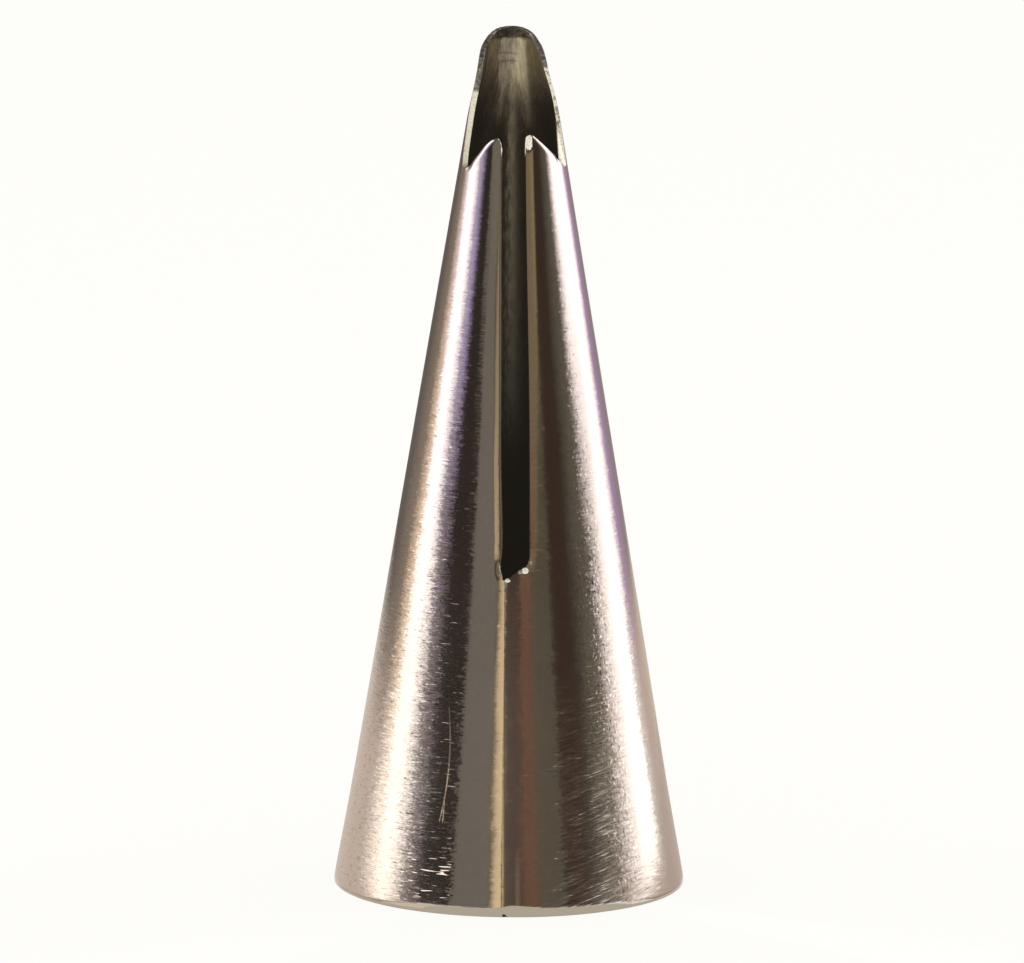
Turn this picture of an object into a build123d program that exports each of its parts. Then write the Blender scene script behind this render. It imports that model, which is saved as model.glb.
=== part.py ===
from build123d import *
import math
import os

# Piping nozzle for ruffled petals: one thin steel sheet rolled into a cone and welded up the front.
# Millimetres. The cone stands on its wide rim with its axis on Z, and its slot faces -Y.

# The cone that the blank is rolled into, outside sizes, and the sheet it is cut from
rim_diameter = 18.0
tip_diameter = 3.2
total_height = 44.3
sheet_thickness = 0.28

# Wide rim: the outer corner is burnished over, and this share of the wall stays flat to stand on
rim_burnish_height = 0.45
rim_flat_share = 0.53

# Tall tongue at the back, seen from the side: a notch each side, a steep edge, then a round tip
tongue_rise = 6.9
shoulder_rise = 4.4
notch_angle = 65.0
tongue_bow = 0.12

# Two short lips at the front, seen from the front, with the slot between them
lip_rise = 1.7
lip_bow = 0.17
lip_corner_radius = 0.4
slot_width = 1.3
slot_length = 21.5

# Torn root of the slot: it falls to the seam, and climbs again to the slot's left edge
root_fall = 0.75
root_climb = 0.25

# Butt seam under the slot, nearly in line with its left edge, and the weld that fills it
seam_inset = 0.13
seam_gap = 0.12
pinhole_height = 0.25
weld_run_width = 0.5
weld_run_height = 0.12

# How far a cut runs past what it cuts
overrun = 2.0

rim_radius = rim_diameter / 2
tip_radius = tip_diameter / 2
taper = (rim_radius - tip_radius) / total_height
wall_across = sheet_thickness * math.hypot(1, taper)
notch_height = total_height - tongue_rise
lip_height = notch_height + lip_rise
slot_half = slot_width / 2
root_right_height = lip_height - slot_length
root_low_height = root_right_height - root_fall
seam_x = seam_inset - slot_half
blank_top = total_height + overrun
half_span = rim_radius + overrun


def outer_radius(height):
    return rim_radius - taper * height


def inner_radius(height):
    return outer_radius(height) - wall_across


def bowed_arc(start, end, bow):
    """An arc whose middle stands off its chord by the bow, to the left of the way it runs."""
    chord = Vector(*end) - Vector(*start)
    middle = (Vector(*start) + Vector(*end)) / 2
    return ThreePointArc(start, middle + Vector(-chord.Y, chord.X).normalized() * bow, end)


def make_full_cone():
    """The outside of the rolled blank as a filled cone, its rim corner burnished over."""
    flat_edge = (inner_radius(0) + wall_across * rim_flat_share, 0)
    burnish_top = (outer_radius(rim_burnish_height), rim_burnish_height)
    burnish = TangentArc(burnish_top, flat_edge, tangent=(taper, -1))
    rest = Polyline(flat_edge, (0, 0), (0, blank_top), (outer_radius(blank_top), blank_top), burnish_top)
    return revolve(Plane.XZ * make_face(burnish + rest), Axis.Z)


def make_hollow():
    """The inside of the rolled blank as a filled cone."""
    section = Polyline(
        (0, 0), (inner_radius(0), 0), (inner_radius(blank_top), blank_top), (0, blank_top), close=True)
    return revolve(Plane.XZ * make_face(section), Axis.Z)


def make_front_cut():
    """Seen from the front: all above the two lips, and the slot down to its slanted, torn root."""
    notch_x = outer_radius(notch_height) * math.sin(math.radians(notch_angle))
    crown_x = slot_half + lip_corner_radius
    corner_z = lip_height - lip_corner_radius
    notch = (notch_x, notch_height)
    crown = (crown_x, lip_height)
    left_notch = (-notch_x, notch_height)
    left_crown = (-crown_x, lip_height)
    right_lip = bowed_arc(notch, crown, -lip_bow)
    right_corner = RadiusArc(crown, (slot_half, corner_z), -lip_corner_radius)
    slot = Polyline(
        (slot_half, corner_z), (slot_half, root_right_height), (seam_x, root_low_height),
        (-slot_half, root_low_height + root_climb), (-slot_half, corner_z))
    left_corner = RadiusArc((-slot_half, corner_z), left_crown, -lip_corner_radius)
    left_lip = bowed_arc(left_crown, left_notch, -lip_bow)
    above = Polyline(
        left_notch, (-half_span, notch_height), (-half_span, blank_top + overrun),
        (half_span, blank_top + overrun), (half_span, notch_height), notch)
    outline = right_lip + right_corner + slot + left_corner + left_lip + above
    return extrude(Plane.XZ * make_face(outline), half_span, both=True)


def make_side_cut():
    """Seen from the side: all in front of the tongue's edge, from the notches up over the tip."""
    notch_y = -outer_radius(notch_height) * math.cos(math.radians(notch_angle))
    shoulder = (0, notch_height + shoulder_rise)
    tip = (tip_radius, total_height)
    edge = bowed_arc(shoulder, tip, tongue_bow)
    past_tip = Vector(*tip) + (edge % 1) * overrun
    floor = root_low_height - overrun
    front = Polyline(
        tip, (past_tip.X, past_tip.Y), (past_tip.X, blank_top + overrun), (-half_span, blank_top + overrun),
        (-half_span, floor), (notch_y, floor), (notch_y, notch_height), shoulder)
    return extrude(Plane.YZ * make_face(edge + front), half_span, both=True)


def make_seam_slice():
    """The butt gap: an upright slice of the front wall, from below the rim up into the slot."""
    length = root_low_height + root_climb + overrun
    return Pos(seam_x, -half_span / 2, length / 2 - overrun) * Box(seam_gap, half_span, length)


def make_rolled_cone():
    mouth_and_slot = make_front_cut() & make_side_cut()
    return make_full_cone() - make_hollow() - mouth_and_slot - make_seam_slice()


def make_seam_weld(cone):
    """Filler in the butt gap, flush outside, with a low round run along the inside of the wall."""
    run_radius = ((weld_run_width / 2) ** 2 + weld_run_height ** 2) / (2 * weld_run_height)

    def run_centre(height):
        wall_y = -math.sqrt(inner_radius(height) ** 2 - seam_x ** 2)
        return Vector(seam_x, wall_y + weld_run_height - run_radius, height)

    foot = run_centre(0)
    head = run_centre(root_low_height + overrun)
    run = extrude(Plane(origin=foot, z_dir=head - foot) * Circle(run_radius), (head - foot).length)
    web = make_seam_slice() - make_hollow()
    length = root_low_height - pinhole_height
    band = Pos(0, 0, pinhole_height + length / 2) * Cylinder(half_span, length)
    return (web + run) & band & make_full_cone() - cone


os.makedirs("parts", exist_ok=True)
rolled_cone = make_rolled_cone()
seam_weld = make_seam_weld(rolled_cone)
export_step(rolled_cone, "parts/rolled_cone.step")
export_step(seam_weld, "parts/seam_weld.step")
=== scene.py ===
import math

import bpy
import numpy as np
from mathutils import Matrix, Vector


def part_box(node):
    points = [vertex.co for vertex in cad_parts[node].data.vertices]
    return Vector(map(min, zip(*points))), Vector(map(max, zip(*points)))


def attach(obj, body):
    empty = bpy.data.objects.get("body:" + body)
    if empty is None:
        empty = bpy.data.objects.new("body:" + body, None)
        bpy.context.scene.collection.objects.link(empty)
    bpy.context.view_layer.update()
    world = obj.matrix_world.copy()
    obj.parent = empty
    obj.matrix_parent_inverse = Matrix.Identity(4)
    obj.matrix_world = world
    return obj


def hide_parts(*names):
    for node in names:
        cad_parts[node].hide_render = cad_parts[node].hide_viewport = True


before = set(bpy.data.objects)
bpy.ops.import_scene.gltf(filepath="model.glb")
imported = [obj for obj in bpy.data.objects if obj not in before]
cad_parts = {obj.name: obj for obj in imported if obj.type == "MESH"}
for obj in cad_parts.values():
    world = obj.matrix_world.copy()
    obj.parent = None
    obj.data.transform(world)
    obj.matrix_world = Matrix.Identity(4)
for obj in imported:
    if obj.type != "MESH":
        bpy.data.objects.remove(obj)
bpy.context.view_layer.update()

# Rolled cone
# One blank of thin steel sheet, rolled into a cone until its edges butt at the front. The blank carries
# the tongue, the two lips and the slot, so the mouth is cut before rolling and only deburred after.

# Sizes are in millimetres, and azimuths in degrees going right round the cone from the slot's middle
MM = 0.001
cone_low, cone_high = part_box("rolled_cone")
cone_height = (cone_high.z - cone_low.z) / MM
rim_radius = 9.0
tip_radius = 1.6
sheet_thickness = 0.28
taper = (rim_radius - tip_radius) / cone_height
slant = math.atan(taper)

rim_line = 0.02
rim_burnish_slope = 0.24
rim_flare = 0.07
rim_flare_height = 8.0
wide_wave_depth = 0.008
narrow_wave_depth = 0.006

tongue_pinch = 0.14
pinch_heights = (39.6, 42.6)
tongue_lean = 0.085
lean_heights = (40.5, 43.8)
crease_height = 43.66
crease_push = 0.34
crease_half_width = 1.40

slot_left_x = -0.61
slot_left_top_x = -0.70
slot_left_heights = (18.5, 23.5)
slot_right_x = 0.80
slot_right_top_x = 0.58
slot_right_heights = (22.0, 39.0)
chip_height = 17.7
chip_half_height = 0.55
chip_depth = 0.09
root_left_height = 17.35
root_right_height = 18.05

seam_x = -0.52
seam_gap = 0.12
seam_peak = 0.02
seam_peak_width = 0.9
seam_drift = 0.17
seam_drift_height = 16.0
pinhole_height = 0.15
pinhole_splay = 0.17

edge_round = 0.05
edge_wander = 0.008
seam_round = 0.012
slot_facet_width = 0.40
slot_facet_depth = 0.034
slot_round_width = 0.08
slot_round_depth = 0.016
lip_roll_width = 0.24
lip_roll_depth = 0.06
filed_thin = 0.12
filed_azimuth = 83.0
filed_reach = 10.0
filed_heights = (36.6, 37.6)

# Outline of the mouth in the sheet, as azimuth against height
right_lip_line = [(12.8, 38.35), (13.3, 38.75), (15.0, 39.00), (17.5, 39.12), (21.0, 39.17), (26.0, 39.02),
                  (32.0, 38.80), (43.4, 38.38), (52.0, 38.07), (58.0, 37.76), (63.0, 37.52), (67.5, 37.38)]
left_lip_line = [(15.0, 38.30), (15.7, 38.60), (17.0, 38.80), (19.5, 38.93), (22.5, 38.98), (27.7, 38.87),
                 (34.8, 38.63), (44.4, 38.14), (50.0, 37.86), (56.0, 37.50), (61.0, 37.34), (65.5, 37.28)]
tongue_line = [(72.0, 38.30), (77.6, 39.60), (83.0, 40.70), (88.0, 41.75), (95.0, 42.72), (105.0, 43.28),
               (117.0, 43.60), (128.0, 43.88), (146.0, 44.18), (161.0, 44.31), (180.0, 44.35)]
left_tongue_line = [(69.0, 37.34), (72.0, 37.72), (74.6, 38.30), (76.4, 39.20), (79.0, 40.05)]
left_tongue_line += tongue_line[2:]
bevelled_line = [(77.2, 37.42), (79.2, 38.40), (81.4, 39.70), (84.3, 40.95)] + tongue_line[3:]
# The slot's ragged root, as distance right of the slot's middle against height
slot_root_line = [(-0.46, 16.84), (-0.36, 16.92), (-0.24, 17.00), (-0.04, 17.20), (0.13, 17.29),
                  (0.23, 17.42), (0.46, 17.50), (0.60, 17.60), (0.73, 17.80), (0.80, 18.05)]
# The rim is burnished to a narrow band, higher at the front than at the sides
rim_burnish_line = [(-180.0, 0.14), (-60.0, 0.16), (-45.0, 0.28), (-28.0, 0.46), (-8.0, 0.46), (0.0, 0.60),
                    (12.0, 0.44), (30.0, 0.40), (44.0, 0.28), (60.0, 0.20), (180.0, 0.14)]


def eased(low, high, value):
    """Rises smoothly from 0 at low to 1 at high."""
    share = np.clip((value - low) / (high - low), 0.0, 1.0)
    return share * share * (3.0 - 2.0 * share)


def fading(gap, width, power):
    """Falls from 1 at an edge to 0 at this width from it."""
    return np.clip(1.0 - gap / width, 0.0, 1.0) ** power


def drawn_line(points, at):
    """A smooth line through the points, which doesn't swing past them."""
    x, y = (np.array(side, float) for side in zip(*points))
    run = np.diff(x)
    rise = np.diff(y) / run
    slope = np.zeros(len(x))
    same_way = rise[:-1] * rise[1:] > 0
    slope[1:-1][same_way] = 2 / (1 / rise[:-1][same_way] + 1 / rise[1:][same_way])
    slope[0], slope[-1] = rise[0], rise[-1]
    at = np.clip(at, x[0], x[-1])
    i = np.clip(np.searchsorted(x, at) - 1, 0, len(run) - 1)
    t = (at - x[i]) / run[i]
    return ((2 * t ** 3 - 3 * t ** 2 + 1) * y[i] + (t ** 3 - 2 * t ** 2 + t) * run[i] * slope[i]
            + (3 * t ** 2 - 2 * t ** 3) * y[i + 1] + (t ** 3 - t ** 2) * run[i] * slope[i + 1])


def worn_noise(seed, spacing, at):
    """Smooth random wear between -1 and 1 along a line."""
    knot_count = 4096
    knots = np.random.RandomState(seed).uniform(-1.0, 1.0, knot_count)
    place = np.asarray(at) / spacing
    i = np.floor(place).astype(int)
    t = place - i
    t = t * t * (3.0 - 2.0 * t)
    return knots[i % knot_count] * (1.0 - t) + knots[(i + 1) % knot_count] * t


def cone_radius(height):
    return rim_radius - taper * height


def slot_right(height):
    return slot_right_x + (slot_right_top_x - slot_right_x) * eased(*slot_right_heights, height)


def slot_left(height):
    chipped = np.exp(-((height - chip_height) / chip_half_height) ** 2)
    leaning_in = (slot_left_top_x - slot_left_x) * eased(*slot_left_heights, height)
    return slot_left_x + leaning_in - chip_depth * chipped


def seam_right(height):
    """The butt gap's right edge, which opens to the right at the rim's pinhole."""
    return seam_x + seam_gap / 2 + pinhole_splay * fading(height, pinhole_height, 1)


def mouth_height(azimuth, inside):
    """Height of the blank's top edge at an azimuth from 0 to 360 degrees.

    The tongue's right side is filed at a slant, so the outer face ends further round there."""
    right = drawn_line(right_lip_line + (tongue_line if inside else bevelled_line), azimuth)
    left = drawn_line(left_lip_line + left_tongue_line, 360.0 - azimuth)
    on_tongue = eased(60.0, 75.0, np.minimum(azimuth, 360.0 - azimuth))
    wander = 0.018 * worn_noise(3, 3.0, azimuth) * on_tongue
    return np.where(azimuth < 180.0, right, left) + wander


def main_azimuth(share, height):
    """Azimuth at a share of the way round the sheet, from the slot's right edge to its left."""
    radius = cone_radius(height)
    start = np.degrees(np.arcsin(slot_right(height) / radius))
    end = 360.0 + np.degrees(np.arcsin(slot_left(height) / radius))
    return start + share * (end - start)


def make_columns():
    """Shares of the way round the sheet, close together at the slot, the lips' corners and the tongue."""
    near_slot = [0.0, 0.25, 0.5, 0.8, 1.15, 1.6, 2.1, 2.7, 3.4, 4.2, 5.2, 6.4, 7.8, 9.2]
    angles = near_slot + list(np.arange(10.5, 48.0, 0.75)) + list(np.arange(48.0, 92.0, 0.4))
    angles += list(np.arange(92.0, 168.1, 1.0))
    half = np.array(angles) / (2 * angles[-1])
    return np.concatenate([half, 1.0 - half[-2::-1]])


def make_rows(count, fine_low, fine_high):
    """Shares of a column's height, closer together at its ends."""
    even = np.linspace(0.0, 1.0, count)
    low = even ** (1.0 + fine_low)
    high = 1.0 - (1.0 - even) ** (1.0 + fine_high)
    return low * (1.0 - even) + high * even


main_shares = make_columns()
low_rows = make_rows(90, 0.6, 0.5)
high_rows = make_rows(110, 0.3, 0.9)[1:]
right_strip = np.linspace(0.0, 1.0, 27)[:-1]
left_strip = (0.5, 1.0)
guessed_top = 38.0
settling_rounds = 14


def sheet_columns(inside):
    """Columns from the rim to the top edge of one face of the sheet: their azimuths and their heights."""
    columns = []
    seam_edge = seam_x + seam_gap / 2
    for share in right_strip:
        root = drawn_line(slot_root_line, seam_edge + share * (slot_right_x - seam_edge)) - edge_round
        heights = rim_line + (root - rim_line) * low_rows
        across = seam_right(heights) + share * (slot_right(heights) - seam_right(heights))
        columns.append((np.degrees(np.arcsin(across / cone_radius(heights))), heights))
    # A column's azimuth depends on its height and its top on its azimuth, so both settle in turns
    tops = np.full(len(main_shares), guessed_top)
    for _ in range(settling_rounds):
        tops = mouth_height(main_azimuth(main_shares, tops), inside) - edge_round
    for share, top in zip(main_shares, tops):
        root = root_right_height + (root_left_height - root_right_height) * share - edge_round
        heights = np.concatenate([rim_line + (root - rim_line) * low_rows, root + (top - root) * high_rows])
        columns.append((main_azimuth(share, heights), heights))
    for share in left_strip:
        root = root_left_height + (slot_root_line[0][1] - root_left_height) * share - edge_round
        heights = rim_line + (root - rim_line) * low_rows
        across = slot_left(heights) + share * (seam_x - seam_gap / 2 - slot_left(heights))
        columns.append((360.0 + np.degrees(np.arcsin(across / cone_radius(heights))), heights))
    return columns


def rim_burnish(azimuth, height):
    """How deep the burnished band at the rim lies under the cone's face."""
    band = drawn_line(rim_burnish_line, azimuth)
    return rim_burnish_slope * band * fading(height, band, 1.4)


def seam_ridge(across, height):
    """The low ridge that rolling leaves at the seam, which drifts off it to the left near the rim."""
    ridge_x = seam_x - seam_drift * (1.0 - eased(0.0, seam_drift_height, height))
    return seam_peak * np.exp(-np.abs(across - ridge_x) / seam_peak_width)


def outer_radius(turn, height):
    """Radius of the outer face, flared at the rim and with the slight waves that rolling leaves."""
    flare = rim_flare * (1.0 - eased(0.0, rim_flare_height, height)) ** 2
    wide_wave = wide_wave_depth * np.sin(3 * turn + 0.11 * height)
    narrow_wave = narrow_wave_depth * np.sin(7 * turn - 0.23 * height)
    return cone_radius(height) + flare + wide_wave + narrow_wave


# A gap that counts as far from every edge
far_from_edge = 9.0


def wall_point(azimuth, height, inside, edge_gap):
    """A point of the sheet: inside is 0 on its outer face and 1 on its inner face."""
    turn = np.radians(azimuth)
    across = cone_radius(height) * np.sin(turn)
    at_front = np.cos(turn) > 0
    radius = outer_radius(turn, height) - tongue_pinch * eased(*pinch_heights, height)
    below_root = 1.0 - eased(root_left_height - 1.0, root_right_height + 1.5, height)
    radius += seam_ridge(across, height) * at_front * below_root

    # The slot's sides are rolled in by the cutter, and the lips' edges curl in a little further
    slot_gap = np.where(across > 0, across - slot_right(height), slot_left(height) - across)
    slot_gap = np.where(at_front, np.maximum(slot_gap, 0.0), far_from_edge)
    above_root = eased(root_left_height - 0.1, root_right_height + 0.5, height)
    rolled = slot_facet_depth * fading(slot_gap, slot_facet_width, 1.12)
    rolled += slot_round_depth * fading(slot_gap, slot_round_width, 1.8) * (across < 0)
    rolled *= above_root
    on_lip = np.where(at_front, eased(1.3, 1.6, cone_radius(height) * np.cos(turn)), 0.0)
    curled = lip_roll_depth * fading(edge_gap, lip_roll_width, 2) * on_lip
    inward = np.maximum(rolled, curled)

    burnish = rim_burnish(np.where(azimuth > 180.0, azimuth - 360.0, azimuth), height)
    by_file = np.exp(-((azimuth - filed_azimuth) / filed_reach) ** 2)
    thinned = filed_thin * by_file * eased(*filed_heights, height)
    deep = inward + (sheet_thickness - thinned) * inside + burnish * (1.0 - inside)
    # The rim is cut level, so at it the inner face ends as high as the outer one
    settle = eased(0.0, 1.5, height)
    x = (radius - deep * math.cos(slant)) * np.sin(turn)
    y = -(radius - deep * math.cos(slant)) * np.cos(turn)
    z = height - deep * math.sin(slant) * settle

    # The tongue is bent forward above its crease, and leans to the left
    above_crease = np.clip(height - crease_height, 0.0, None) / (cone_height - crease_height)
    flat_share = 1.0 - eased(0.55, 1.0, np.abs(x) / crease_half_width)
    y = y - crease_push * above_crease ** 1.15 * flat_share * (y > 0)
    x = x - tongue_lean * eased(*lean_heights, height)
    return np.stack([x, y, z], axis=-1)


def edge_gaps(azimuths, heights, inside):
    """How far each point of a column lies under the mouth's edge, square to that edge."""
    if len(heights) == len(low_rows):
        return np.full(len(heights), far_from_edge)
    side = 0.4
    rise = mouth_height(azimuths[-1] + side, inside) - mouth_height(azimuths[-1] - side, inside)
    run = math.radians(2 * side) * cone_radius(heights[-1])
    return (heights[-1] - heights) * math.cos(math.atan2(abs(rise), run))


layers = []
for inside in (0, 1):
    columns = sheet_columns(inside)
    layer = [wall_point(azimuths, heights, inside, edge_gaps(azimuths, heights, inside))
             for azimuths, heights in columns]
    starts = np.cumsum([0] + [len(column) for column in layer])[:-1].tolist()
    layers.append(np.concatenate(layer))
outer_points, inner_points = layers
sheet_count = len(outer_points)

# A file has flattened the right lip's inner corner, which is slightly raised and left bright with the pale
# filed finish, partly a painted highlight
filed_corner = Vector((0.70, 0.0, 38.72))
corner_reach = (0.20, 0.44)
corner_rise = 0.03
corner_bright = 0.15
corner_share = np.clip(1.0 - ((outer_points[:, 0] - filed_corner.x) / corner_reach[0]) ** 2
                       - ((outer_points[:, 2] - filed_corner.z) / corner_reach[1]) ** 2, 0.0, 1.0)
corner_share *= outer_points[:, 1] < 0
outer_points[:, 1] -= corner_rise * corner_share ** 0.5

OUTSIDE, INSIDE, CUT = range(3)
faces = []
finishes = []
for i in range(len(columns) - 1):
    shared = min(len(columns[i][1]), len(columns[i + 1][1]))
    for k in range(shared - 1):
        a, b = starts[i] + k, starts[i + 1] + k
        faces.append((a, b, b + 1, a + 1))
        finishes.append(CUT if corner_share[a] > corner_bright else OUTSIDE)
        faces.append((a + 1 + sheet_count, b + 1 + sheet_count, b + sheet_count, a + sheet_count))
        finishes.append(INSIDE)

# The blank's own edge, once round: up the seam, over the root, the slot, the mouth and back, then the rim
low_count = len(low_rows)
first_main = len(right_strip)
last_main = first_main + len(main_shares) - 1
full_count = low_count + len(high_rows)
blank_edge = [starts[0] + k for k in range(low_count)]
blank_edge += [starts[i] + low_count - 1 for i in range(1, first_main + 1)]
blank_edge += [starts[first_main] + k for k in range(low_count, full_count)]
blank_edge += [starts[i] + full_count - 1 for i in range(first_main + 1, last_main + 1)]
blank_edge += [starts[last_main] + k for k in range(full_count - 2, low_count - 2, -1)]
blank_edge += [starts[i] + low_count - 1 for i in range(last_main + 1, len(columns))]
blank_edge += [starts[-1] + k for k in range(low_count - 2, -1, -1)]
blank_edge += [starts[i] for i in range(len(columns) - 2, 0, -1)]

edge_outer = outer_points[blank_edge]
edge_inner = inner_points[blank_edge]
along = np.roll(edge_outer, -1, axis=0) - np.roll(edge_outer, 1, axis=0)
along /= np.linalg.norm(along, axis=1, keepdims=True)
through = edge_outer - edge_inner
off_edge = np.cross(along, through)
off_edge /= np.linalg.norm(off_edge, axis=1, keepdims=True)

seam_reach = 0.11
seam_top = 16.6
bevel_left = 1.2
bevel_heights = (37.8, 43.2)
edge_x, edge_y, edge_z = edge_outer.T
on_rim = edge_z < rim_line + 0.001
on_seam = (np.abs(edge_x - seam_x) < seam_reach) & (edge_y < 0) & (edge_z < seam_top)
on_bevel = (edge_x > bevel_left) & (edge_z > bevel_heights[0]) & (edge_z < bevel_heights[1])
off_edge[on_rim] = (0.0, 0.0, -1.0)

# The edge is rounded over in steps, evenly but for the filed bevel, which is rough
bevel_round = 0.01
bevel_wander = 0.045
edge_steps = 5
edge_squareness = 0.7
edge_fullness = 0.6
travel = np.cumsum(np.linalg.norm(edge_outer - np.roll(edge_outer, 1, axis=0), axis=1))
bulge = edge_round + edge_wander * worn_noise(5, 0.25, travel)
bulge = np.where(on_bevel, bevel_round + bevel_wander * worn_noise(6, 0.17, travel), bulge)
bulge = np.where(on_rim, rim_line, np.where(on_seam, seam_round, bulge))[:, None]
middle = (edge_outer + edge_inner) / 2
rings = [np.array(blank_edge)]
points = [outer_points, inner_points]
for step in range(1, edge_steps):
    turn = math.pi * step / edge_steps
    lean = math.copysign(abs(math.cos(turn)) ** edge_squareness, math.cos(turn))
    ring = middle + through / 2 * lean + off_edge * bulge * math.sin(turn) ** edge_fullness
    rings.append(sum(len(block) for block in points) + np.arange(len(blank_edge)))
    points.append(ring)
rings.append(np.array(blank_edge) + sheet_count)
for ring, after in zip(rings, rings[1:]):
    for k in range(len(blank_edge)):
        n = (k + 1) % len(blank_edge)
        faces.append((int(ring[k]), int(ring[n]), int(after[n]), int(after[k])))
        finishes.append(CUT)


def solid_mesh(name, points, faces, finishes, materials):
    """A smooth mesh object from points in millimetres, with a finish for each face."""
    sharp_from = 55.0
    mesh = bpy.data.meshes.new(name)
    mesh.from_pydata((np.asarray(points) * MM).tolist(), [], faces)
    for material in materials:
        mesh.materials.append(material)
    mesh.polygons.foreach_set("material_index", finishes)
    mesh.polygons.foreach_set("use_smooth", [True] * len(faces))
    mesh.update()
    mesh.set_sharp_from_angle(angle=math.radians(sharp_from))
    piece = bpy.data.objects.new(name, mesh)
    bpy.context.scene.collection.objects.link(piece)
    return piece


class Finish:
    """A finish under construction: its nodes are made and joined one by one."""

    def __init__(self, name):
        self.material = bpy.data.materials.new(name)
        self.material.use_nodes = True
        self.tree = self.material.node_tree
        self.shader = self.tree.nodes["Principled BSDF"]
        self.place = self.tree.nodes.new("ShaderNodeTexCoord").outputs["Object"]
        self.x, self.y, self.z = self.node("ShaderNodeSeparateXYZ", {0: self.place}).outputs
        self.azimuth = None

    def put(self, socket, value):
        if isinstance(value, bpy.types.NodeSocket):
            self.tree.links.new(value, socket)
        else:
            socket.default_value = value

    def node(self, kind, inputs=(), **settings):
        made = self.tree.nodes.new(kind)
        for key, value in settings.items():
            setattr(made, key, value)
        for socket, value in dict(inputs).items():
            self.put(made.inputs[socket], value)
        return made

    def grain(self, size, detail=2.0, turn=0.0):
        """Noise whose grains have this size in millimetres, turned about the Y axis by some degrees."""
        stretched = self.node("ShaderNodeMapping", {
            "Vector": self.place, "Rotation": (0.0, math.radians(turn), 0.0),
            "Scale": tuple(side * MM for side in size)}, vector_type="TEXTURE").outputs[0]
        return self.node("ShaderNodeTexNoise", {
            "Vector": stretched, "Scale": 1.0, "Detail": detail, "Roughness": 0.6}).outputs["Fac"]

    def between(self, value, from_low, from_high, to_low=0.0, to_high=1.0):
        return self.node("ShaderNodeMapRange", {
            "Value": value, "From Min": from_low, "From Max": from_high,
            "To Min": to_low, "To Max": to_high}).outputs["Result"]

    def across(self, start, end, low=0.0, high=1.0):
        """A mask over the distance right of the slot's middle."""
        return self.between(self.x, start * MM, end * MM, low, high)

    def depth(self, start, end, low=0.0, high=1.0):
        """A mask over the distance behind the axis, which is negative at the front."""
        return self.between(self.y, start * MM, end * MM, low, high)

    def height(self, start, end, low=0.0, high=1.0):
        """A mask over the height above the rim."""
        return self.between(self.z, start * MM, end * MM, low, high)

    def round_from(self, start, end, low=0.0, high=1.0):
        """A mask over the azimuth."""
        if self.azimuth is None:
            self.azimuth = self.math("ARCTAN2", self.x, self.math("MULTIPLY", self.y, -1.0))
        return self.between(self.azimuth, math.radians(start), math.radians(end), low, high)

    def math(self, operation, first, second):
        return self.node("ShaderNodeMath", {0: first, 1: second}, operation=operation).outputs[0]

    def absolute(self, value):
        return self.math("ABSOLUTE", value, 0.0)

    def sum_of(self, first, *others):
        for other in others:
            first = self.math("ADD", first, other)
        return first

    def all_of(self, first, *others):
        """The product of several masks."""
        for other in others:
            first = self.math("MULTIPLY", first, other)
        return first

    def vector(self, operation, first, second, result="Vector"):
        made = self.node("ShaderNodeVectorMath", {0: first}, operation=operation)
        self.put(made.inputs["Scale" if operation == "SCALE" else 1], second)
        return made.outputs[result]

    def mixed(self, factor, first, second):
        made = self.node("ShaderNodeMix", {"Factor": factor}, data_type="RGBA")
        self.put(made.inputs[6], first)
        self.put(made.inputs[7], second)
        return made.outputs[2]

    def swing(self, grain, steady, sparse):
        """A lean from a grain: a steady part all over, and a part that is large only in its few extremes."""
        centred = self.between(grain, 0.0, 1.0, -1.0, 1.0)
        cubed = self.math("POWER", centred, 3.0)
        return self.sum_of(self.all_of(centred, steady), self.all_of(cubed, sparse))

    def leaning(self, around, upward):
        """The face's own normal, made to lean round the cone and up it."""
        sideways = self.node("ShaderNodeTangent", direction_type="RADIAL", axis="Z").outputs[0]
        normal = self.node("ShaderNodeNewGeometry").outputs["Normal"]
        upright = self.vector("CROSS_PRODUCT", normal, sideways)
        sideways = self.vector("SCALE", sideways, around)
        upright = self.vector("SCALE", upright, upward)
        leant = self.vector("ADD", normal, self.vector("ADD", sideways, upright))
        return self.node("ShaderNodeVectorMath", {0: leant}, operation="NORMALIZE").outputs[0]

    def shaded_band_mask(self):
        """The burnished band at the rim, found by how its face turns downward: these faces get painted
        shade.
        """
        normal = self.node("ShaderNodeNewGeometry").outputs["Normal"]
        facing = self.node("ShaderNodeSeparateXYZ", {0: normal}).outputs["Z"]
        return self.between(facing, 0.15, 0.08)

    def metal(self, colour, roughness, normal, metallic=1.0):
        self.put(self.shader.inputs["Metallic"], metallic)
        self.put(self.shader.inputs["Base Color"], colour)
        self.put(self.shader.inputs["Roughness"], roughness)
        self.put(self.shader.inputs["Normal"], normal)
        return self.material


# Polished face: short brush marks run round the cone. They are many at the left and low down, some at the
# right, and few beside the seam.
polish = Finish("polished_sheet")
at_left = polish.round_from(-19.5, -22.5, 0.12, 1.0)
at_right = polish.round_from(-2.0, 1.0, 0.0, 0.40)
wear = polish.all_of(polish.height(36.0, 10.0, 0.25, 1.0), polish.sum_of(at_left, at_right))
brush_marks = polish.swing(polish.grain((0.60, 0.60, 0.085)), 0.030, 1.10)
brush_lifts = polish.swing(polish.grain((0.9, 0.9, 0.050)), 0.04, 0.8)
slow_waves = polish.swing(polish.grain((2.6, 2.6, 7.0), detail=1.0), 0.022, 0.0)
grit = polish.swing(polish.grain((0.16, 0.16, 0.075)), 0.045, 0.65)
peel = polish.swing(polish.grain((0.35, 0.35, 0.50), detail=3.0), 0.030, 0.12)

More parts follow.
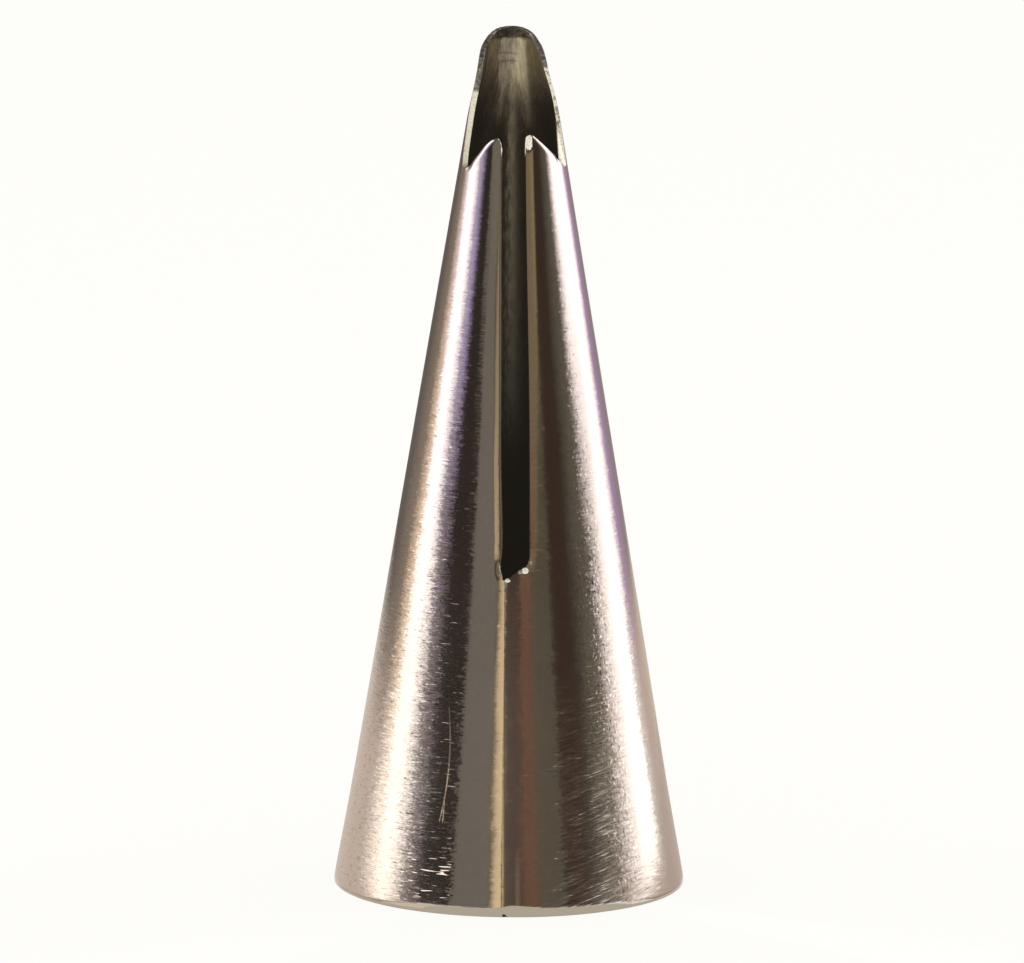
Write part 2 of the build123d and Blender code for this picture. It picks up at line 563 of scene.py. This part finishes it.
# The right of the foot has been rubbed at a slant, and the left has a few deep dashes
front = polish.depth(-1.0, -2.0)
slanted = polish.swing(polish.grain((1.3, 1.3, 0.080), detail=2.5, turn=-17.0), 0.11, 0.40)
slanted = polish.all_of(slanted, polish.across(0.6, 4.0, 0.15, 1.0),
                        polish.round_from(53.0, 45.0, 0.12, 1.0), polish.height(16.0, 4.0))
dash_grain = polish.grain((0.70, 0.70, 0.09), detail=0.0)
dashes = polish.all_of(polish.between(dash_grain, 0.70, 0.75, 0.0, -0.40), polish.height(3.6, 3.0), front,
                       polish.round_from(-38.0, -33.0), polish.round_from(-20.0, -22.0))

# The polish at the right turns grainy where the wall curves away, as on an orange's skin
grainy = polish.all_of(polish.swing(polish.grain((0.13, 0.13, 0.20), detail=1.0), 0.03, 1.0),
                       polish.round_from(24.0, 38.0), polish.round_from(50.0, 45.0),
                       polish.height(32.0, 16.0, 0.2, 1.0))

# Two tiny glints are painted on the polish as white spots
glint_white = (1.0, 0.98, 0.92, 1.0)
painted_glints = 0.0
for glint_place in ((2.24, -2.94, 31.78), (-0.79, -6.52, 14.58)):
    glint_gap = polish.vector("DISTANCE", polish.place, Vector(glint_place) * MM, result="Value")
    painted_glints = polish.sum_of(painted_glints, polish.between(glint_gap, 0.11 * MM, 0.04 * MM))

# One long scratch, bent like a blade of grass and forked at its foot, at the left of the slot
scratch_x = -3.22 * MM
scratch_bend = -30.0
scratch_middle = 8.9 * MM
fork_width = 0.17 * MM
bend = polish.math("POWER", polish.sum_of(polish.z, -scratch_middle), 2.0)
scratch_line = polish.sum_of(polish.all_of(bend, scratch_bend), scratch_x)
scratch_gap = polish.math("SUBTRACT", polish.x, scratch_line)
fork_gap = polish.math("SUBTRACT", scratch_gap, polish.height(5.8, 4.6, 0.0, fork_width))
scratch_gap = polish.math("MINIMUM", polish.absolute(scratch_gap), polish.absolute(fork_gap))
scratch = polish.all_of(polish.between(scratch_gap, 0.048 * MM, 0.016 * MM), front,
                        polish.height(4.5, 4.7), polish.height(11.8, 7.0))

# All of these make the face lean, round the cone and up it
around = polish.sum_of(
    polish.all_of(brush_marks, wear), slow_waves, polish.all_of(grit, wear),
    polish.all_of(peel, polish.between(wear, 0.0, 0.5, 0.25, 1.0)),
    polish.sum_of(dashes, polish.all_of(slanted, 0.6)), polish.sum_of(grainy, polish.all_of(scratch, 0.33)))
upward = polish.sum_of(polish.all_of(brush_lifts, wear), slanted)

steel_dark = (0.58, 0.53, 0.475, 1.0)
steel_light = (0.66, 0.615, 0.56, 1.0)
steel_mottle = (0.42, 0.38, 0.34, 1.0)
rubbed_shade_brown = (0.34, 0.29, 0.24, 1.0)
# Painted shade for the burnished band, which mirrors the floor in the nozzle's shadow
band_painted_shade = (0.42, 0.365, 0.290, 1.0)
patches = polish.grain((3.5, 3.5, 6.0), detail=3.0)
mottle = polish.grain((0.12, 0.12, 0.20), detail=3.0)
tone = polish.mixed(patches, steel_dark, steel_light)
tone = polish.mixed(polish.between(mottle, 0.3, 0.7, 0.0, 0.22), tone, steel_mottle)
# Brush marks at the left are painted darker: partly their wear, partly painted shade for their darker
# reflection
rubbed_shade = polish.all_of(polish.between(polish.grain((0.45, 0.45, 0.10), detail=3.0), 0.46, 0.30, 0.0, 0.8),
                       polish.round_from(-44.0, -56.0), polish.height(20.0, 12.0, 0.3, 1.0))
tone = polish.mixed(rubbed_shade, tone, rubbed_shade_brown)
# A bright streak runs up from the rim just right of the seam
bright_streak_white = (1.0, 0.92, 0.82, 1.0)
bright_streak = polish.all_of(polish.across(0.02, 0.12), polish.across(0.36, 0.24),
                      polish.height(3.6, 2.2, 0.0, 0.85), front)
tone = polish.mixed(bright_streak, tone, bright_streak_white)
# Painted shade darkens the downward-facing burnished band
tone = polish.mixed(polish.shaded_band_mask(), tone, band_painted_shade)
# Painted glints: white spots at the two points
tone = polish.mixed(polish.math("MINIMUM", painted_glints, 1.0), tone, glint_white)

# A flake stands at the slot's foot, and a painted shadow makes a dark curved line round its left side
flake_x, flake_height = -0.80 * MM, 17.38 * MM
flake_half_width, flake_half_height = 0.16 * MM, 0.46 * MM
flake_shadow_dark = (0.10, 0.085, 0.07, 1.0)
flake_across = polish.math("DIVIDE", polish.sum_of(polish.x, -flake_x), flake_half_width)
flake_along = polish.math("DIVIDE", polish.sum_of(polish.z, -flake_height), flake_half_height)
flake_gap = polish.sum_of(polish.math("POWER", flake_across, 2.0), polish.math("POWER", flake_along, 2.0))
flake_shadow_line = polish.all_of(polish.between(flake_gap, 0.3, 0.9, 0.0, 0.75),
                           polish.between(flake_gap, 1.8, 1.1), polish.across(-0.64, -0.82), front)
tone = polish.mixed(flake_shadow_line, tone, flake_shadow_dark)
worn_left = polish.all_of(polish.round_from(-20.0, -50.0), polish.height(18.0, 4.0))
worn_right = polish.all_of(polish.round_from(14.0, 34.0), polish.height(18.0, 4.0, 0.0, 0.7))
roughness = polish.sum_of(polish.between(patches, 0.3, 0.7, 0.09, 0.13),
                          polish.all_of(polish.sum_of(worn_left, worn_right), 0.07))
polished_sheet = polish.metal(tone, roughness, polish.leaning(around, upward))

# Inner face: as rolled, with long drawing marks. Painted shade darkens it in the throat and, mottled, above
# the tongue's crease, and its top is painted lighter where light comes in over the tongue. Two scores cross
# the tongue.
drawn = Finish("drawn_inner_face")
drawn_streaks = drawn.grain((0.12, 0.12, 2.6), detail=3.0)
flecks = drawn.grain((0.30, 0.30, 0.16), detail=3.0)
stains = drawn.grain((0.8, 0.8, 1.6), detail=3.0)
streaked = drawn.between(drawn_streaks, 0.35, 0.65)
lit_drawn = drawn.mixed(streaked, (0.33, 0.27, 0.17, 1.0), (0.52, 0.45, 0.29, 1.0))
worn_drawn = drawn.mixed(streaked, (0.13, 0.105, 0.075, 1.0), (0.28, 0.23, 0.165, 1.0))
# The lower tones are painted shade, deepest in the throat
shaded_drawn = drawn.mixed(streaked, (0.10, 0.082, 0.054, 1.0), (0.17, 0.14, 0.095, 1.0))
deep_shaded_drawn = drawn.mixed(streaked, (0.035, 0.032, 0.026, 1.0), (0.055, 0.050, 0.041, 1.0))
stained_x = drawn.sum_of(drawn.x, drawn.all_of(stains, 1.2 * MM))
lit_drawn = drawn.mixed(drawn.between(stained_x, 0.9 * MM, 0.4 * MM), lit_drawn, worn_drawn)
shaded_drawn = drawn.mixed(drawn.height(24.0, 34.0), deep_shaded_drawn, shaded_drawn)
drawn_tone = drawn.mixed(drawn.height(40.2, 41.9), shaded_drawn, lit_drawn)
# Above the tongue's crease the inner face is mottled with painted shade
crease_shade_brown = (0.045, 0.040, 0.026, 1.0)
above_crease = drawn.height(crease_height - 0.02, crease_height + 0.04)
mottled_crease_shade = drawn.between(flecks, 0.40, 0.62, 0.85, 0.0)
drawn_tone = drawn.mixed(drawn.all_of(above_crease, mottled_crease_shade), drawn_tone, crease_shade_brown)
score_brown = (0.06, 0.052, 0.038, 1.0)
score_bend = drawn.all_of(drawn.math("SUBTRACT", flecks, 0.5), 0.3 * MM)
for score_height in (42.87, 42.46):
    score_gap = drawn.math("SUBTRACT", drawn.sum_of(drawn.z, score_bend), score_height * MM)
    score = drawn.all_of(drawn.between(drawn.absolute(score_gap), 0.10 * MM, 0.02 * MM, 0.0, 0.55),
                         drawn.across(0.4, -0.1), drawn.across(-0.8, -0.6), drawn.depth(0.0, 0.2))
    drawn_tone = drawn.mixed(score, drawn_tone, score_brown)
drawn_normal = drawn.leaning(drawn.swing(drawn_streaks, 0.07, 0.15), drawn.swing(flecks, 0.04, 0.10))
drawn_roughness = drawn.between(stains, 0.3, 0.7, 0.22, 0.32)
drawn_metal_share = drawn.height(39.2, 41.2, 1.0, 0.84)
drawn_inner_face = drawn.metal(drawn_tone, drawn_roughness, drawn_normal, drawn_metal_share)
# The inner face glows faintly: a painted glow that stands in for the room's stray light, lifting even the
# throat a little
painted_stray_glow = (0.0105, 0.0090, 0.0068, 1.0)
drawn.put(drawn.shader.inputs["Emission Color"], painted_stray_glow)
drawn.put(drawn.shader.inputs["Emission Strength"], 1.0)

# Cut edge: filed to a pale grain at the lips and the tongue's sides, partly a painted highlight, left dark
# along its arc, and painted shade in the slot and on all the cut edge below it
filed = Finish("filed_edge")
file_marks = filed.grain((0.16, 0.16, 0.10), detail=3.0)
# The pale tone is partly a painted highlight on the lamp-facing cut bands
pale_lit_tone = filed.mixed(filed.between(file_marks, 0.36, 0.56),
                        (0.84, 0.75, 0.50, 1.0), (1.0, 0.98, 0.86, 1.0))
dark_filed_and_shade = filed.mixed(filed.between(file_marks, 0.35, 0.65),
                        (0.24, 0.215, 0.18, 1.0), (0.62, 0.60, 0.55, 1.0))
# Painted shade in the slot, darkest on its right side
slot_painted_shade = filed.mixed(filed.across(-0.2, 0.2), (0.30, 0.25, 0.18, 1.0), (0.06, 0.05, 0.035, 1.0))
nick_brown = (0.22, 0.17, 0.13, 1.0)
nicks = filed.all_of(filed.between(filed.grain((0.20, 0.20, 0.24), detail=1.0), 0.47, 0.40, 0.0, 0.75),
                     filed.across(0.8, 1.0), filed.height(38.8, 39.4))
pale_lit_tone = filed.mixed(nicks, pale_lit_tone, nick_brown)
at_slot = filed.all_of(filed.between(filed.absolute(filed.x), 0.95 * MM, 0.85 * MM),
                       filed.height(38.3, 38.0), filed.depth(0.0, -0.5))
slot_shade_share = filed.math("MAXIMUM", at_slot, filed.height(37.2, 36.8))
filed_top = filed.across(-0.2, 0.2, 41.1 * MM, 42.3 * MM)
under_top = filed.between(filed.math("SUBTRACT", filed.z, filed_top), 0.1 * MM, -0.1 * MM)
pale_lit_share = filed.all_of(under_top, filed.height(37.2, 37.5), filed.math("SUBTRACT", 1.0, slot_shade_share))
dark_filed_and_shade = filed.mixed(slot_shade_share, dark_filed_and_shade, slot_painted_shade)
filed_tone = filed.mixed(pale_lit_share, dark_filed_and_shade, pale_lit_tone)
filed_roughness = filed.between(file_marks, 0.3, 0.7, 0.40, 0.55)
filed_normal = filed.leaning(filed.swing(file_marks, 0.3, 0.8), filed.swing(file_marks, 0.2, 0.6))
filed_metal_share = filed.between(pale_lit_share, 0.0, 1.0, 1.0, 0.05)
filed_edge = filed.metal(filed_tone, filed_roughness, filed_normal, filed_metal_share)

cone = solid_mesh(
    "rolled_sheet_cone", np.concatenate(points), faces, finishes,
    [polished_sheet, drawn_inner_face, filed_edge])
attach(cone, "root")
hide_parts("rolled_cone")

# Seam weld
# Filler run into the butt gap under the slot, ground flush outside and left as a low rippled run inside.
# It stops short of the rim, where a pinhole is left, and freezes into small drops at the slot's root.
weld_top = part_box("seam_weld")[1].z / MM
weld_foot = 0.02
weld_overshoot = 0.02
weld_rows = np.linspace(weld_foot, weld_top + weld_overshoot, 260)
run_width = 0.50
run_height = 0.11
run_overlap = 0.02
ripple_pitch = 0.34
ripple_depth = 0.10
ripple_wander = 0.12
top_thinning = 0.75
top_fade = 0.3
foot_share = 0.3
foot_fade = 0.25
pinhole_depth = 0.15
# Outline of the bead, as distance right of the seam against depth under the cone's face
weld_section = [(-0.078, 0.030), (-0.074, -0.0006), (-0.036, -0.0008), (0.0, -0.0009), (0.036, -0.0008),
                (0.074, -0.0006), (0.078, 0.030), (0.06, 0.24)]
for turn in np.linspace(0.0, math.pi, 9):
    run_deep = sheet_thickness - run_overlap + (run_height + run_overlap) * math.sin(turn)
    weld_section.append((run_width / 2 * math.cos(turn), run_deep))
weld_section.append((-0.06, 0.24))
weld_points = []
for height in weld_rows:
    reach = cone_radius(height)
    turn = math.asin(seam_x / reach)
    burnish = float(rim_burnish(math.degrees(turn), height))
    sunk = pinhole_depth * (1.0 - eased(pinhole_height - 0.06, pinhole_height + 0.02, height))
    ripple = 1.0 + ripple_depth * math.sin(2 * math.pi * height / ripple_pitch)
    ripple += ripple_wander * worn_noise(9, 0.3, height)
    # The run thins out at its top and over the pinhole
    swell = ripple * (1.0 - top_thinning * eased(weld_rows[-1] - top_fade, weld_rows[-1], height))
    swell *= foot_share + (1.0 - foot_share) * eased(pinhole_height, pinhole_height + foot_fade, height)
    for across, deep in weld_section:
        if deep > sheet_thickness / 2:
            inward = sheet_thickness / 2 + (deep - sheet_thickness / 2) * swell
            across = across * swell
        else:
            inward = deep + sunk
        side = turn + across / reach
        surface = outer_radius(side, height) + seam_ridge(seam_x + across, height)
        out = surface - (burnish + inward) * math.cos(slant)
        fall = deep * math.sin(slant) if height > 0.1 else 0.0
        weld_points.append((out * math.sin(side), -out * math.cos(side), height - fall))
around_weld = len(weld_section)
weld_faces = []
for k in range(len(weld_rows) - 1):
    for i in range(around_weld):
        n = (i + 1) % around_weld
        weld_faces.append((k * around_weld + i, k * around_weld + n,
                           (k + 1) * around_weld + n, (k + 1) * around_weld + i))
weld_faces.append(tuple(range(around_weld))[::-1])
weld_faces.append(tuple((len(weld_rows) - 1) * around_weld + i for i in range(around_weld)))

# Frozen drops along the slot's root, and last a flake on its left edge: how far right of the slot's
# middle, height, half sizes, and how far they stand out of the sheet
GROUND, FROZEN = range(2)
weld_finishes = [GROUND] * len(weld_faces)
root_drops = [
    (0.55, 17.31, 0.17, 0.18, 0.10),
    (0.33, 17.26, 0.16, 0.12, 0.07),
    (-0.31, 16.84, 0.18, 0.11, 0.08),
    (0.84, 17.70, 0.10, 0.14, 0.03),
    (-0.71, 17.38, 0.08, 0.24, 0.04),
]
drop_half_depth = 0.14
drop_lobes = 0.14
drop_waist = 0.08
drop_rings, drop_turns = 12, 20


def drop_corner(first, ring, step):
    """Number of a drop's point, counted from its first. Its top and its bottom are single points."""
    if ring == 0:
        return first
    if ring == drop_rings:
        return first + 1 + (drop_rings - 1) * drop_turns
    return first + 1 + (ring - 1) * drop_turns + step % drop_turns


for drop, (across, height, half_wide, half_high, stands_out) in enumerate(root_drops):
    reach = cone_radius(height) - drop_half_depth + stands_out
    turn = math.asin(across / reach)
    first = len(weld_points)
    drop_finish = GROUND if half_high > 2 * half_wide else FROZEN
    for ring in range(drop_rings + 1):
        tilt = math.pi * ring / drop_rings
        for step in range(drop_turns if 0 < ring < drop_rings else 1):
            spin = 2 * math.pi * step / drop_turns
            lump = 1.0 + drop_lobes * math.sin(3 * spin + drop) * math.sin(tilt)
            lump += drop_waist * math.sin(2 * tilt + 2 * drop)
            along_x = half_wide * lump * math.sin(tilt) * math.cos(spin)
            out = reach + drop_half_depth * lump * math.sin(tilt) * math.sin(spin)
            up = height + half_high * lump * math.cos(tilt)
            side = turn + along_x / reach
            weld_points.append((out * math.sin(side), -out * math.cos(side), up))
    for ring in range(drop_rings):
        for step in range(drop_turns):
            corners = (drop_corner(first, ring, step), drop_corner(first, ring + 1, step),
                       drop_corner(first, ring + 1, step + 1), drop_corner(first, ring, step + 1))
            weld_faces.append(tuple(dict.fromkeys(corners)))
            weld_finishes.append(drop_finish)

# The bead is ground bright with the sheet, and its pinhole is painted black with shade
ground = Finish("ground_weld")
pinhole_painted_shade = (0.02, 0.018, 0.015, 1.0)
weld_grain = ground.grain((0.5, 0.5, 0.07))
weld_tone = ground.mixed(weld_grain, (0.56, 0.51, 0.455, 1.0), steel_light)
# The downward-facing band at the rim gets painted shade here too
weld_tone = ground.mixed(ground.shaded_band_mask(), weld_tone, band_painted_shade)
# Painted shade fills the pinhole black
pinhole_shade_share = ground.height(pinhole_height + 0.02, pinhole_height - 0.02)
weld_tone = ground.mixed(pinhole_shade_share, weld_tone, pinhole_painted_shade)
weld_normal = ground.leaning(ground.swing(weld_grain, 0.01, 0.1), ground.swing(weld_grain, 0.01, 0.1))
ground_weld = ground.metal(weld_tone, ground.between(weld_grain, 0.3, 0.7, 0.09, 0.14), weld_normal)

# The drops are pale. Right of the slot's middle only the largest one is, and those beside it are dull
frozen = Finish("frozen_drops")
dull_brown = (0.33, 0.30, 0.24, 1.0)
frozen_grain = frozen.grain((0.12, 0.12, 0.10), detail=3.0)
frozen_tone = frozen.mixed(frozen_grain, (0.80, 0.79, 0.66, 1.0), (0.95, 0.94, 0.82, 1.0))
beside_largest = frozen.math("MAXIMUM", frozen.across(0.44, 0.40), frozen.across(0.72, 0.76))
dull_drop = frozen.all_of(beside_largest, frozen.across(0.0, 0.1))
frozen_tone = frozen.mixed(dull_drop, frozen_tone, dull_brown)
frozen_normal = frozen.leaning(frozen.swing(frozen_grain, 0.2, 0.5), frozen.swing(frozen_grain, 0.2, 0.5))
frozen_drops = frozen.metal(frozen_tone, 0.35, frozen_normal, 0.2)
weld = solid_mesh("seam_weld_bead", weld_points, weld_faces, weld_finishes, [ground_weld, frozen_drops])
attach(weld, "root")
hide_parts("seam_weld")

# Camera
# Stands where the photograph was taken, a little left of the slot and slightly above the nozzle. Its
# distance and its aim are in metres.
lens_pixels = 7786.0
image_width_pixels = 1024.0
sensor_width = 36.0
camera_distance = 0.4001
camera_elevation = math.radians(9.625)
camera_azimuth = math.radians(-1.6)
camera_roll = math.radians(0.322)
aim = Vector((0.000036, 0.0, 0.0209))

scene = bpy.context.scene
camera_data = bpy.data.cameras.new("photo_camera")
camera_data.sensor_width = sensor_width
camera_data.lens = lens_pixels / image_width_pixels * sensor_width
camera = bpy.data.objects.new("photo_camera", camera_data)
scene.collection.objects.link(camera)
back = Vector((math.sin(camera_azimuth) * math.cos(camera_elevation),
               -math.cos(camera_azimuth) * math.cos(camera_elevation), math.sin(camera_elevation)))
right = Vector((0.0, 0.0, 1.0)).cross(back).normalized()
up = back.cross(right)
right, up = (right * math.cos(camera_roll) + up * math.sin(camera_roll),
             up * math.cos(camera_roll) - right * math.sin(camera_roll))
pose = Matrix((right, up, back)).transposed().to_4x4()
pose.translation = aim + back * camera_distance
camera.matrix_world = pose
scene.camera = camera
scene.view_settings.view_transform = "Standard"

# White room
# The camera, polish and any glass see plain white all round, and the rest is lit a little softer.
room_white = (1.0, 0.995, 0.965, 1.0)
soft_white = (1.0, 0.99, 0.97, 1.0)
soft_strength = 0.85
world = bpy.data.worlds.new("white_room")
scene.world = world
world.use_nodes = True
room = world.node_tree
room.nodes.clear()
white = room.nodes.new("ShaderNodeBackground")
white.inputs["Color"].default_value = room_white
soft = room.nodes.new("ShaderNodeBackground")
soft.inputs["Color"].default_value = soft_white
soft.inputs["Strength"].default_value = soft_strength
seen = room.nodes.new("ShaderNodeLightPath").outputs
sees_white = seen["Is Camera Ray"]
for ray in ("Is Glossy Ray", "Is Transmission Ray"):
    either = room.nodes.new("ShaderNodeMath")
    either.operation = "MAXIMUM"
    room.links.new(sees_white, either.inputs[0])
    room.links.new(seen[ray], either.inputs[1])
    sees_white = either.outputs[0]
choice = room.nodes.new("ShaderNodeMixShader")
room.links.new(sees_white, choice.inputs[0])
room.links.new(soft.outputs[0], choice.inputs[1])
room.links.new(white.outputs[0], choice.inputs[2])
room_out = room.nodes.new("ShaderNodeOutputWorld")
room.links.new(choice.outputs[0], room_out.inputs["Surface"])

# Floor
# Pale board, which also shows white to the camera so that only the shadow stands out. The nozzle stands
# on it by its rim and closes off the light, so the round of board inside it is left as it is.
floor_radius = 1600.0
floor_white_share = 0.93
board_pale = (0.90, 0.895, 0.88, 1.0)


def disc(radius, height, count):
    """Points and the one face of a round sheet."""
    points = [(radius * math.cos(turn), radius * math.sin(turn), height)
              for turn in np.linspace(0.0, 2 * math.pi, count + 1)[:-1]]
    return points, [tuple(range(count))]


def stage_sheet(name, points, faces, finish, surface, only_mirrored=True):
    """A sheet of the room, which isn't part of the object. Most of them show in the polish alone."""
    finish.put(finish.tree.nodes["Material Output"].inputs["Surface"], surface.outputs[0])
    mesh = bpy.data.meshes.new(name)
    mesh.from_pydata([tuple(side * MM for side in point) for point in points], [], faces)
    mesh.materials.append(finish.material)
    sheet = bpy.data.objects.new(name, mesh)
    scene.collection.objects.link(sheet)
    sheet.visible_camera = not only_mirrored
    sheet.visible_shadow = not only_mirrored
    sheet.visible_diffuse = not only_mirrored


board = Finish("pale_board")
board.shader.inputs["Base Color"].default_value = board_pale
board.shader.inputs["Roughness"].default_value = 0.6
board_seen = board.node("ShaderNodeLightPath").outputs
board_share = board_seen["Is Camera Ray"]
for ray in ("Is Glossy Ray", "Is Transmission Ray"):
    board_share = board.math("MAXIMUM", board_share, board_seen[ray])
out_from_axis = board.node("ShaderNodeVectorMath", {0: board.place}, operation="LENGTH").outputs["Value"]
clear_of_nozzle = board.math("GREATER_THAN", out_from_axis, (rim_radius - 0.1) * MM)
board_share = board.all_of(board_share, floor_white_share, clear_of_nozzle)
board_white = board.node("ShaderNodeEmission", {"Color": room_white, "Strength": 1.0})
board_mix = board.node(
    "ShaderNodeMixShader", {0: board_share, 1: board.shader.outputs[0], 2: board_white.outputs[0]})
stage_sheet("pale_floor", *disc(floor_radius, 0.0, 96), board, board_mix, only_mirrored=False)

# Cards and cloth
# A dark cloth hangs round the nozzle with strips of tinted card and two glowing softboxes in front of it,
# and more cards stand close behind the nozzle. They only show in the polish, where they draw its bands.
card_height = 300.0
cloth_reach = 370.0
card_reach = 360.0
near_reach = 60.0
# name, reach, azimuths of its ends, widths of the soft edges there, colours at its foot and head, and the
# heights between which the one fades into the other. A card with no colour at its foot hangs high and only
# begins between those heights.
cards = [
    ("dark_cloth", cloth_reach, -135, 150, 0.1, 0.1, (0.045, 0.036, 0.030), (0.040, 0.033, 0.028), 60, 100),
    ("left_softbox", card_reach, -122, -69, 23, 22, (2.35, 2.20, 2.02), (2.3, 2.17, 2.40), 30, 46),
    ("left_fringe_card", 359.5, -125, -101, 12, 10, (1.20, 0.89, 0.64), (1.35, 1.10, 1.20), 36, 56),
    ("lilac_card", 359.0, -80, -61, 6, 12, (0.29, 0.240, 0.235), (0.62, 0.50, 0.85), 54, 66),
    ("grey_card", card_reach, -41, -16.5, 2, 0.8, (0.230, 0.210, 0.188), (0.230, 0.210, 0.182), 60, 100),
    ("grey_top_card", card_reach, -49, -39.5, 3, 0.1, None, (0.21, 0.19, 0.16), 83, 91),
    ("straw_card", 359.0, -16.8, -4.3, 4.5, 0.3, (1.05, 0.83, 0.53), (0.40, 0.335, 0.225), 60, 90),
    ("shade_card", card_reach, -4, 9, 2, 2, (0.13, 0.095, 0.078), (0.068, 0.052, 0.044), 62, 72),
    ("rust_card", 359.0, 7, 19, 2, 3, (0.210, 0.114, 0.076), (0.26, 0.20, 0.12), 76.0, 76.8),
    ("olive_card", 358.5, 12, 30, 2, 8, None, (0.26, 0.20, 0.125), 75.8, 78),
    ("olive_top_card", 358.0, 20, 38, 5, 6, None, (0.33, 0.265, 0.15), 84.5, 90.5),
    ("moss_card", card_reach, 15, 39, 1, 4, (0.140, 0.122, 0.095), (0.100, 0.086, 0.064), 62, 75),
    ("wine_card", 359.0, 35, 58, 4, 8, (0.110, 0.078, 0.056), (0.060, 0.037, 0.028), 28, 50),
    ("oat_card", card_reach, 52, 106, 17, 1, (0.45, 0.38, 0.305), (0.142, 0.125, 0.098), 18, 27),
    ("high_glow_card", 358.0, 75, 106, 16, 1, None, (1.95, 1.75, 1.85), 44, 60),
    ("right_softbox", 356.0, 80, 145, 26, 9, (2.35, 2.15, 2.15), (2.35, 2.17, 2.25), 30, 50),
    ("left_gold_card", near_reach, -150, -102, 1, 20, (0.80, 0.68, 0.60), (0.365, 0.30, 0.24), 4, 11),
    ("left_near_card", 59.0, -180, -116, 0.1, 30, (0.80, 0.69, 0.62), (0.17, 0.145, 0.135), 4, 11),
    ("right_violet_card", near_reach, 114, 170, 15, 1, (0.72, 0.57, 0.52), (0.60, 0.42, 0.74), 6, 16),
    ("right_near_card", 59.0, 125, 180, 22, 0.1, (0.72, 0.60, 0.50), (0.36, 0.29, 0.31), 7.5, 11.5),
]


def strip(turns, one_side, other_side):
    """Points and faces of a strip between two circles, each given by its radius and its height."""
    points = [(radius * math.sin(turn), -radius * math.cos(turn), height)
              for radius, height in (one_side, other_side) for turn in turns]
    count = len(turns)
    return points, [(i, i + 1, i + 1 + count, i + count) for i in range(count - 1)]


for name, reach, start, end, soft_start, soft_end, foot, head, fade_from, fade_to in cards:
    turns = np.radians(np.linspace(start, end, 3 + int((end - start) / 2)))
    dye = Finish(name)
    rise = dye.height(fade_from, fade_to)
    colour = dye.mixed(rise, (*(foot or head), 1.0), (*head, 1.0))
    glow = dye.node("ShaderNodeEmission", {"Color": colour})
    clear = dye.node("ShaderNodeBsdfTransparent")
    first_edge = dye.round_from(start, start + soft_start)
    last_edge = dye.round_from(end, end - soft_end)
    share = dye.math("MINIMUM", first_edge, last_edge)
    share = share if foot else dye.all_of(share, rise)
    cover = dye.node("ShaderNodeMixShader", {0: share, 1: clear.outputs[0], 2: glow.outputs[0]})
    stage_sheet(name, *strip(turns, (reach, 0.0), (reach, card_height)), dye, cover)

# Mats lie on the floor: a beige one round the back of the nozzle's foot is painted shade of the floor there,
# which tints the lowest part of its sides, and the glowing ones carry the softboxes' white down to the rim.
# Each has a name, its reach from and to, the azimuths of its ends, and its colours at the left and the right
# of the nozzle.
mat_lift = 0.05
mats = [
    ("floor_shadow_mat", 9.3, 58.0, 56, 310, (0.80, 0.68, 0.60), (0.62, 0.52, 0.46)),
    ("left_glow_mat", 58.0, 355.0, 246, 270, (2.3, 2.25, 2.2), (2.3, 2.25, 2.2)),
    ("right_glow_mat", 58.0, 355.0, 92, 120, (2.3, 2.25, 2.2), (2.3, 2.25, 2.2)),
    ("left_rim_mat", 9.3, 30.0, 310, 328, (1.35, 1.25, 1.25), (1.35, 1.25, 1.25)),
    ("right_rim_mat", 9.3, 30.0, 44, 56, (1.5, 1.5, 1.6), (1.7, 1.75, 1.9)),
]
for name, inner_reach, outer_reach, start, end, left_tone, right_tone in mats:
    turns = np.radians(np.linspace(start, end, 3 + int((end - start) / 4)))
    fleece = Finish(name)
    fleece_tone = fleece.mixed(fleece.across(-10.0, 10.0), (*left_tone, 1.0), (*right_tone, 1.0))
    fleece_glow = fleece.node("ShaderNodeEmission", {"Color": fleece_tone})
    stage_sheet(name, *strip(turns, (inner_reach, mat_lift), (outer_reach, mat_lift)), fleece, fleece_glow)

# A dark canopy closes the cloth overhead, so the tongue's cut arc isn't washed out
felt_dark = (0.15, 0.14, 0.13, 1.0)
felt = Finish("dark_felt")
felt_glow = felt.node("ShaderNodeEmission", {"Color": felt_dark})
stage_sheet("dark_canopy", *disc(cloth_reach, card_height, 72), felt, felt_glow)

# Soft lamps
# One tall lamp stands at each side. They light the pale filed edges and the floor, not the polish.
lamp_height = 400.0
lamp_glow = 2.4
lamp_tint = (1.0, 0.985, 0.97)
lamps = [("left_soft_lamp", -95.0, 153.0), ("right_soft_lamp", 109.5, 213.0)]
for name, lamp_azimuth, width in lamps:
    data = bpy.data.lights.new(name, "AREA")
    data.shape = "RECTANGLE"
    data.size = width * MM
    data.size_y = lamp_height * MM
    data.energy = math.pi * (width * MM) * (lamp_height * MM) * lamp_glow
    data.color = lamp_tint
    lamp = bpy.data.objects.new(name, data)
    scene.collection.objects.link(lamp)
    turn = math.radians(lamp_azimuth)
    lamp.location = Vector((card_reach * math.sin(turn), -card_reach * math.cos(turn), lamp_height / 2)) * MM
    lamp.rotation_euler = (math.pi / 2, 0.0, turn)
    lamp.visible_camera = False
    lamp.visible_glossy = False
